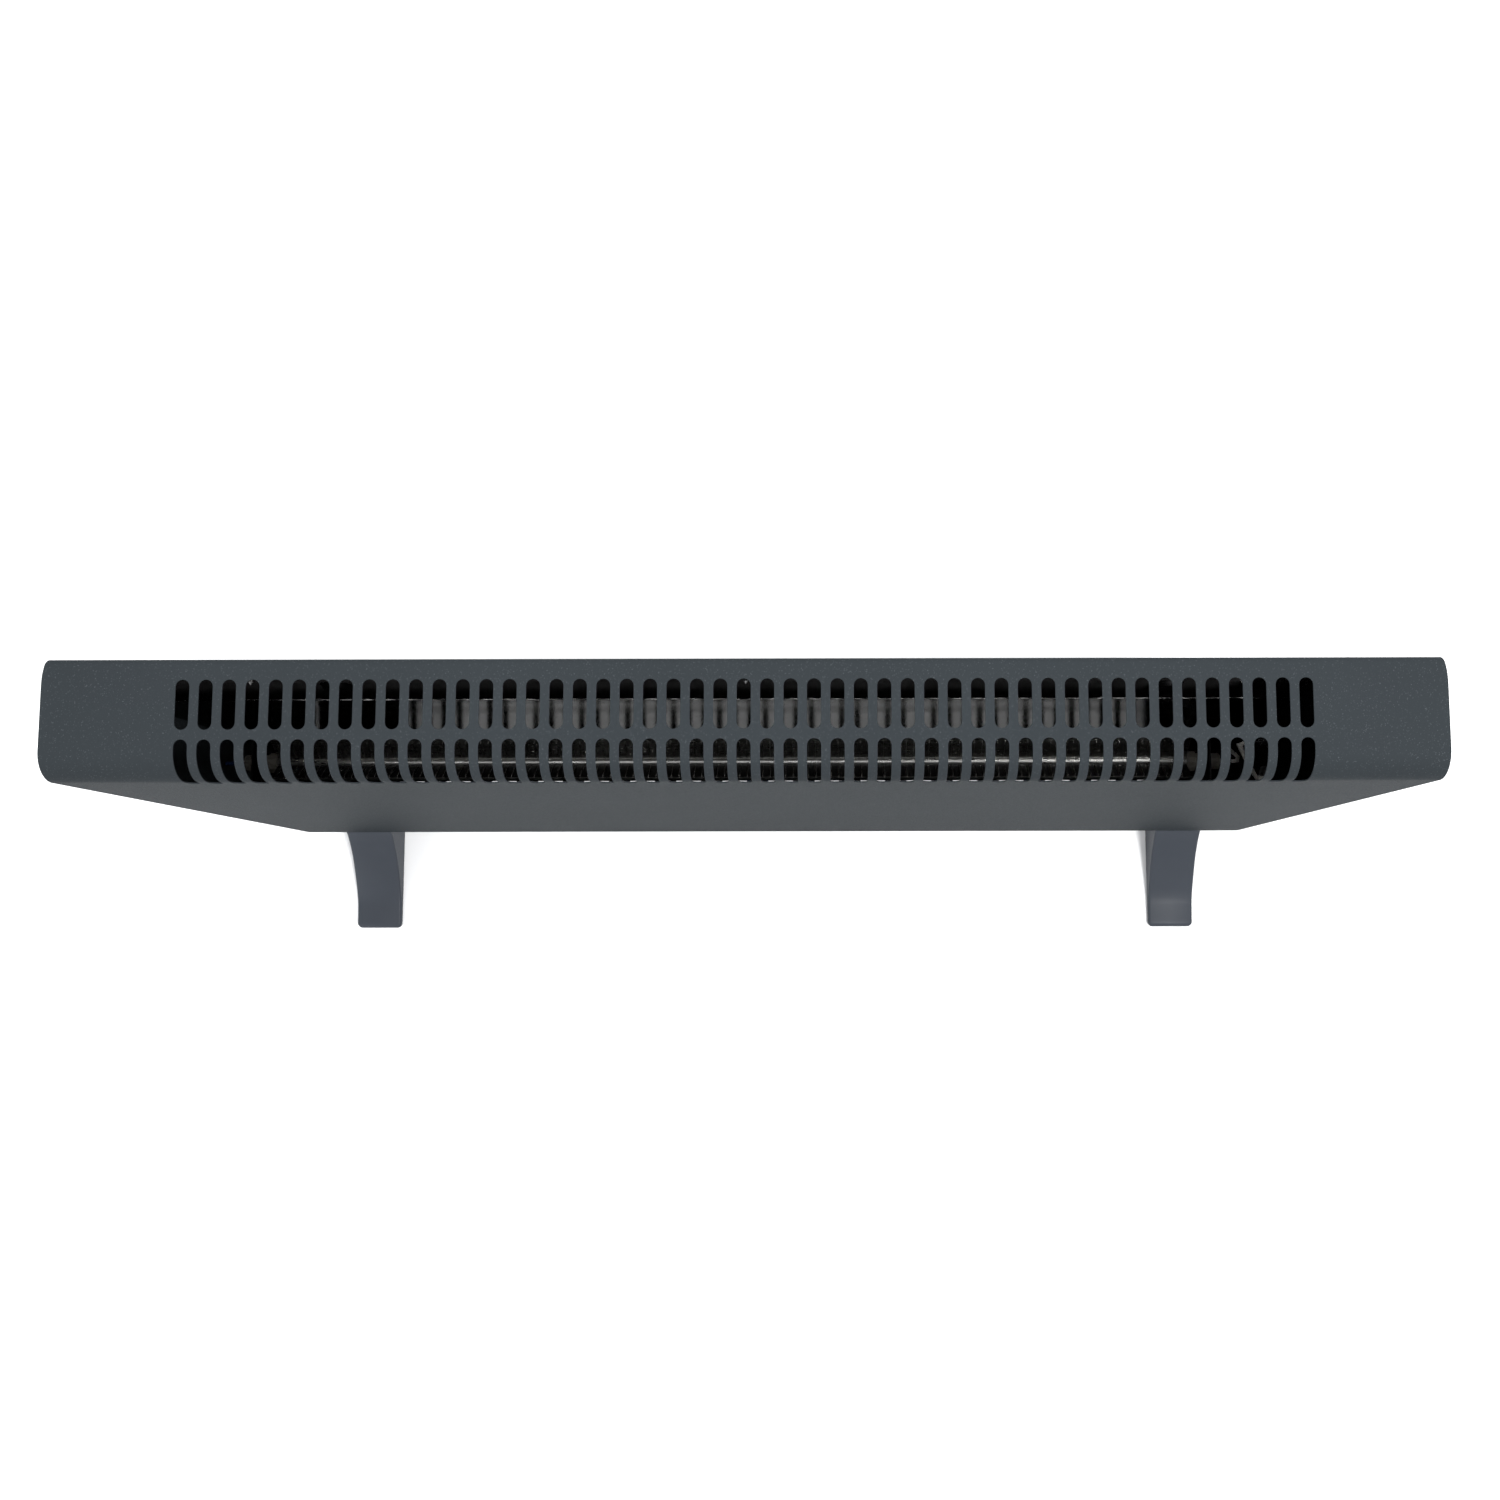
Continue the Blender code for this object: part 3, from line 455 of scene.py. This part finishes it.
def make_shell():
    """Painted case: rear flange, slotted top, rounded front edge, front face and bottom flange."""
    low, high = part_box("front_shell")
    top = high.z - CROWN
    bottom = low.z
    front = low.y
    rear = high.y
    rim = 31.5 * MM
    small = 4 * MM
    large = 17 * MM
    path = [(rim, top - 28 * MM), (rim, top - 12.5 * MM), (rear, top - 8 * MM)]
    path += arc((rear - small, top - small), small, 0, 90, 8)
    path += [(y * MM, top) for y in (30, 27, 24)]
    path += arc((front + large, top - large), large, 90, 180, 14)
    path += arc((front + small, bottom + small), small, 180, 270, 6)
    path += [(front + 14 * MM, bottom)]
    rows = [(length_to(path, y=23.4 * MM), length_to(path, y=-6.5 * MM)),
            (length_to(path, y=-12.2 * MM), length_to(path, z=top - 23 * MM))]
    bm = Sheet(path, high.x, rows, CROWN, taper=20 * MM).build()
    finish("slotted_shell", bm, "paint", replaces=("front_shell",), smooth=50, bevel=0.22 * MM)


def make_grille():
    """Slotted intake sheet across the bottom of the case."""
    low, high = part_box("bottom_grille")
    path = [(low.y, low.z), (high.y, low.z), (high.y, high.z)]
    row = (3.0 * MM, 52.5 * MM)
    bm = Sheet(path, high.x, [row]).build()
    finish("intake_grille", bm, "galvanised", replaces=("bottom_grille",), smooth=50, bevel=0.15 * MM)


def make_pockets():
    """Assumed cup behind each hanging keyhole, which stops light from behind the case."""
    levels = ((35.0, 11.0, 14.0), (34.4, 9.6, 12.6), (31.9, 8.4, 11.4), (31.3, 7.4, 10.4))
    count = 32
    for x in (-KEYHOLE_X, KEYHOLE_X):
        bm = bmesh.new()
        rings = []
        for y, wide, tall in levels:
            ring = []
            for i in range(count):
                angle = 2 * math.pi * i / count
                across = x + wide * MM * math.cos(angle)
                up = KEYHOLE_Z + tall * MM * math.sin(angle)
                ring.append(bm.verts.new((across, y * MM, up)))
            rings.append(ring)
        for a, b in zip(rings, rings[1:]):
            for i in range(count):
                j = (i + 1) % count
                bm.faces.new((a[i], a[j], b[j], b[i]))
        bm.faces.new(rings[-1])
        name = "keyhole_pocket_left" if x < 0 else "keyhole_pocket_right"
        cup = finish(name, bm, "galvanised", smooth=40)
        # The cup takes the near-black zinc: painted shade.
        cup.data.materials[0] = PAINTED_SHADE_ZINC
        thick = cup.modifiers.new("sheet", "SOLIDIFY")
        thick.thickness = 0.6 * MM
        thick.offset = -1


# ---------------------------------------------------------------- element

def make_element():
    """X-section casing: a bright round core and four arms with ribs and thicker rims, whose webs are
    painted near black as painted shade of the unlit inside. The arms are narrower than the CAD's, which
    lets the floor slots show past them."""
    low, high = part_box("element_body")
    y = (low.y + high.y) / 2
    z = (low.z + high.z) / 2
    span = high.x - low.x
    middle_x = (low.x + high.x) / 2
    bm = bmesh.new()
    core = Matrix.Translation((middle_x, y, z)) @ Matrix.Rotation(math.pi / 2, 4, "Y")
    core_radius = 5 * MM
    bmesh.ops.create_cone(bm, cap_ends=True, segments=28, radius1=core_radius, radius2=core_radius,
                          depth=span, matrix=core)
    webs = []
    pitch = 5.5 * MM
    end_gap = 4 * MM
    count = int((span - 2 * end_gap) / pitch)
    tilt = Matrix.Rotation(math.radians(74), 4, "Y")
    arm_tips = ((14.5, 20), (-14.5, 20), (-11, -20), (11, -20))
    for u, v in arm_tips:
        reach = math.hypot(u, v) * MM
        arm = Matrix.Translation((0, y, z)) @ Matrix.Rotation(math.atan2(v, u), 4, "X")
        webs.append(len(bm.faces))
        web = (4.6 * MM, reach - 1.5 * MM, 0.5 * MM)
        edge = (reach - 1.8 * MM, reach, 1.3 * MM)
        for start, stop, thick in (web, edge):
            place = Matrix.Translation((middle_x, (start + stop) / 2, 0))
            size = Matrix.Diagonal((span, stop - start, thick, 1.0))
            bmesh.ops.create_cube(bm, size=1.0, matrix=arm @ place @ size)
        for i in range(count + 1):
            x = low.x + end_gap + i * pitch
            place = Matrix.Translation((x, (7 * MM + reach - 2.4 * MM) / 2, 0))
            size = Matrix.Diagonal((4.2 * MM, reach - 9.4 * MM, 0.45 * MM, 1.0))
            bmesh.ops.create_cube(bm, size=1.0, matrix=arm @ place @ tilt @ size)
    bm.faces.ensure_lookup_table()
    cube_faces = 6
    # The arm webs take the near-black aluminium: painted shade.
    for first in webs:
        for face in bm.faces[first:first + cube_faces]:
            face.material_index = 1
    element = finish("ribbed_element", bm, "aluminium", replaces=("element_body",), smooth=35)
    element.data.materials.append(PAINTED_SHADE_WEB)


def make_shield():
    """Zinc sheet behind the element. Its lean is chosen so that the intake slots show in it as
    streaks from above: most of it stands back from the CAD's sheet, and its top meets it."""
    low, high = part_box("heat_shield")
    face = low.y + 0.6 * MM
    back = face + 3.4 * MM
    path = [(high.y, low.z), (back, low.z + 9 * MM), (back, 285 * MM),
            (face + 2.85 * MM, 350 * MM), (face + 1.65 * MM, 385 * MM), (face, high.z)]
    bm = Sheet(path, (high.x - low.x) / 2, []).build()
    bmesh.ops.translate(bm, verts=bm.verts, vec=((low.x + high.x) / 2, 0, 0))
    finish("zinc_shield", bm, "galvanised", replaces=("heat_shield",), smooth=50)


# ---------------------------------------------------------------- feet

def foot_profile():
    """(distance out from the middle, height) in mm along the top of half a foot."""
    toe = [(121, 3.6), (120.6, 5.4), (119.2, 6.5), (117, 7.0), (112, 7.2), (104, 7.6), (97, 8.3)]
    sweep = [(89, 10.6), (81, 14.0), (70, 19.0), (58, 25.2), (47, 33.0), (41, 38.2)]
    saddle = [(36, 43.0), (33, 45.0), (30, 45.7)]
    return toe + sweep + saddle


def smooth_line(points, steps):
    """Catmull-Rom curve through the points."""
    line = []
    for i in range(len(points) - 1):
        p = [Vector(points[max(min(i + k, len(points) - 1), 0)]) for k in (-1, 0, 1, 2)]
        for s in range(steps):
            t = s / steps
            square = 2 * p[0] - 5 * p[1] + 4 * p[2] - p[3]
            cube = 3 * p[1] - p[0] - 3 * p[2] + p[3]
            line.append(0.5 * ((2 * p[1]) + (p[2] - p[0]) * t + square * t * t + cube * t ** 3))
    line.append(Vector(points[-1]))
    return line


def make_foot(node):
    """Moulded foot, as rings across it from front to back: crowned top, rounded shoulders and tips."""
    low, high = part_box(node)
    middle = (low.x + high.x) / 2
    half = (high.x - low.x) / 2
    base = low.z
    corner = 4.4 * MM
    bm = bmesh.new()
    rings = []
    line = smooth_line(foot_profile(), 3)
    stations = [(-p.x * MM, p.y * MM) for p in line] + [(p.x * MM, p.y * MM) for p in reversed(line)]
    for y, height in stations:
        out = high.y - abs(y)
        wide = half
        if out < corner:
            wide = half - corner + math.sqrt(max(corner ** 2 - (corner - out) ** 2, 0))
        crown = min(1.0 * MM, (height - base) * 0.2) if abs(y) > REAR else 0.2 * MM
        edge = min(2.2 * MM, (height - base) * 0.45)
        shoulder = height - crown
        points = [(-wide, base), (-wide, shoulder - edge)]
        for degrees in (22.5, 45, 67.5):
            angle = math.radians(degrees)
            points.append((-wide + edge - edge * math.cos(angle), shoulder - edge + edge * math.sin(angle)))
        inner = wide - edge
        spans = 8
        for k in range(spans + 1):
            u = -inner + 2 * inner * k / spans
            points.append((u, height - crown * (u / inner) ** 2))
        points += [(-u, v) for u, v in reversed(points[:5])]
        rings.append([bm.verts.new((middle + u, y, v)) for u, v in points])
    bm.faces.new(rings[0])
    bm.faces.new(rings[-1])
    for a, b in zip(rings, rings[1:]):
        for k in range(len(a)):
            j = (k + 1) % len(a)
            bm.faces.new((a[k], b[k], b[j], a[j]))
    finish(f"moulded_{node}", bm, "plastic", replaces=(node,), smooth=50)


# ---------------------------------------------------------------- controls

def make_knob():
    """Fluted knob. Its pointer starts at one end of the dial and reaches the other after SWEEP."""
    low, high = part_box("thermostat_knob")
    y = (low.y + high.y) / 2
    z = (low.z + high.z) / 2
    bm = bmesh.new()
    count = 96
    flutes = 24
    skirt = [(11, 0), (18.8, 0), (18.8, 1.6), (18.2, 2.2), (17.3, 2.8)]
    cap = [(17.0, 13.6), (16.4, 14.9), (15.2, 15.7), (13.4, 16), (12.6, 15.7), (0, 15.5)]
    profile = skirt + cap
    inside = [(11, 4.5), (3.2, 5), (3.2, 11.6), (0, 11.6)]
    rows = []
    for line in (profile, inside):
        for r, d in line:
            if r == 0:
                rows.append([bm.verts.new((low.x + d * MM, y, z))])
                continue
            row = []
            for i in range(count):
                angle = 2 * math.pi * i / count
                flute = 0.35 * (math.cos(angle * flutes) - 1) if 2.5 < d < 15 and r > 14 else 0.0
                radius = (r + flute) * MM
                row.append(bm.verts.new((low.x + d * MM, y + radius * math.cos(angle),
                                         z + radius * math.sin(angle))))
            rows.append(row)
    outer = rows[:len(profile)]
    hollow = rows[len(profile):]
    for a, b in list(zip(outer, outer[1:])) + [(outer[0], hollow[0])] + list(zip(hollow, hollow[1:])):
        for i in range(count):
            j = (i + 1) % count
            if len(b) == 1:
                bm.faces.new((a[i], a[j], b[0]))
            else:
                bm.faces.new((a[i], a[j], b[j], b[i]))
    finish("fluted_knob", bm, "plastic", "knob", ("thermostat_knob",), smooth=35)
    bm = bmesh.new()
    start = Matrix.Rotation(math.radians(-SWEEP / 2), 4, "X")
    mark = Matrix.Translation((low.x + 15.85 * MM, y, z)) @ start
    mark = mark @ Matrix.Translation((0, 0, 8.5 * MM)) @ Matrix.Diagonal((0.5 * MM, 1.6 * MM, 7 * MM, 1))
    bmesh.ops.create_cube(bm, size=1.0, matrix=mark)
    pointer = finish("knob_pointer", bm, "white_nylon", "knob", smooth=30, bevel=0.1 * MM)
    pointer.data.materials[0] = PRINT


def make_dial():
    """Printed ticks around the knob on the floor of the control recess."""
    low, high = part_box("thermostat_knob")
    y = (low.y + high.y) / 2
    z = (low.z + high.z) / 2
    bm = bmesh.new()
    radius = 21.3 * MM
    for i in range(TICKS):
        angle = math.radians(-SWEEP / 2 + SWEEP / (TICKS - 1) * i)
        long = 2.2 * MM if i % 5 == 0 else 1.4 * MM
        away = Vector((0, math.sin(angle), math.cos(angle)))
        place = Matrix.Translation(Vector((RECESS_FLOOR, y, z)) + away * radius)
        place = place @ Matrix.Rotation(-angle, 4, "X") @ Matrix.Diagonal((0.12 * MM, 0.7 * MM, long, 1))
        bmesh.ops.create_cube(bm, size=1.0, matrix=place)
    ticks = finish("dial_ticks", bm, "white_nylon", smooth=30)
    ticks.data.materials[0] = PRINT


# ---------------------------------------------------------------- stage

def make_floor():
    """Pale floor, a hair below the feet."""
    bm = bmesh.new()
    bmesh.ops.create_grid(bm, x_segments=1, y_segments=1, size=6.0)
    mesh = bpy.data.meshes.new("floor")
    bm.to_mesh(mesh)
    bm.free()
    pale = Shader("floor", (0.86, 0.86, 0.86), 0.6)
    mesh.materials.append(pale.material)
    obj = bpy.data.objects.new("floor", mesh)
    bpy.context.collection.objects.link(obj)
    obj.location.z = -0.0003


def make_light(name, place, target, size, power):
    """Rectangular area light at a place, turned towards its target."""
    data = bpy.data.lights.new(name, "AREA")
    data.shape = "RECTANGLE"
    data.size, data.size_y = size
    data.energy = power
    obj = bpy.data.objects.new(name, data)
    bpy.context.collection.objects.link(obj)
    obj.location = place
    obj.rotation_euler = (Vector(target) - Vector(place)).to_track_quat("-Z", "Y").to_euler()


def make_lights():
    """Even pale surroundings and four soft lights."""
    world = bpy.data.worlds.new("studio")
    bpy.context.scene.world = world
    world.use_nodes = True
    sky = world.node_tree.nodes["Background"]
    sky.inputs["Color"].default_value = (0.95, 0.97, 1.0, 1.0)
    sky.inputs["Strength"].default_value = 0.85
    make_light("key", (0.9, -0.75, 2.6), (0.2, 0, 0.45), (0.5, 0.35), 62)
    make_light("side", (-2.0, -1.3, 1.1), (-0.2, 0, 0.3), (1.0, 0.8), 18)
    make_light("top", (0.0, 0.5, 2.9), (0, 0, 0), (2.4, 1.8), 40)
    make_light("rear", (0.0, 2.0, 1.8), (0, 0.5, 0), (2.6, 1.0), 26)


def make_camera():
    """Camera almost straight above the heater, a little to the front and right of its middle."""
    data = bpy.data.cameras.new("camera")
    data.sensor_width = 36.0
    data.lens = 33.012
    data.shift_x = -0.05
    data.shift_y = 0.0324
    data.clip_start = 0.01
    obj = bpy.data.objects.new("camera", data)
    bpy.context.collection.objects.link(obj)
    turn = Matrix.Rotation(math.radians(-0.117), 4, "Z") @ Matrix.Rotation(math.radians(5.53), 4, "X")
    turn = turn @ Matrix.Rotation(math.radians(0.155), 4, "Y")
    obj.matrix_world = Matrix.Translation((49.8 * MM, -125.4 * MM, 1276.3 * MM)) @ turn
    bpy.context.scene.camera = obj


def main():
    dress_nodes()
    make_shell()
    make_grille()
    make_pockets()
    make_shield()
    make_element()
    make_foot("left_foot")
    make_foot("right_foot")
    make_knob()
    make_dial()
    make_floor()
    make_lights()
    make_camera()
    scene = bpy.context.scene
    scene.view_settings.view_transform = "Standard"


main()
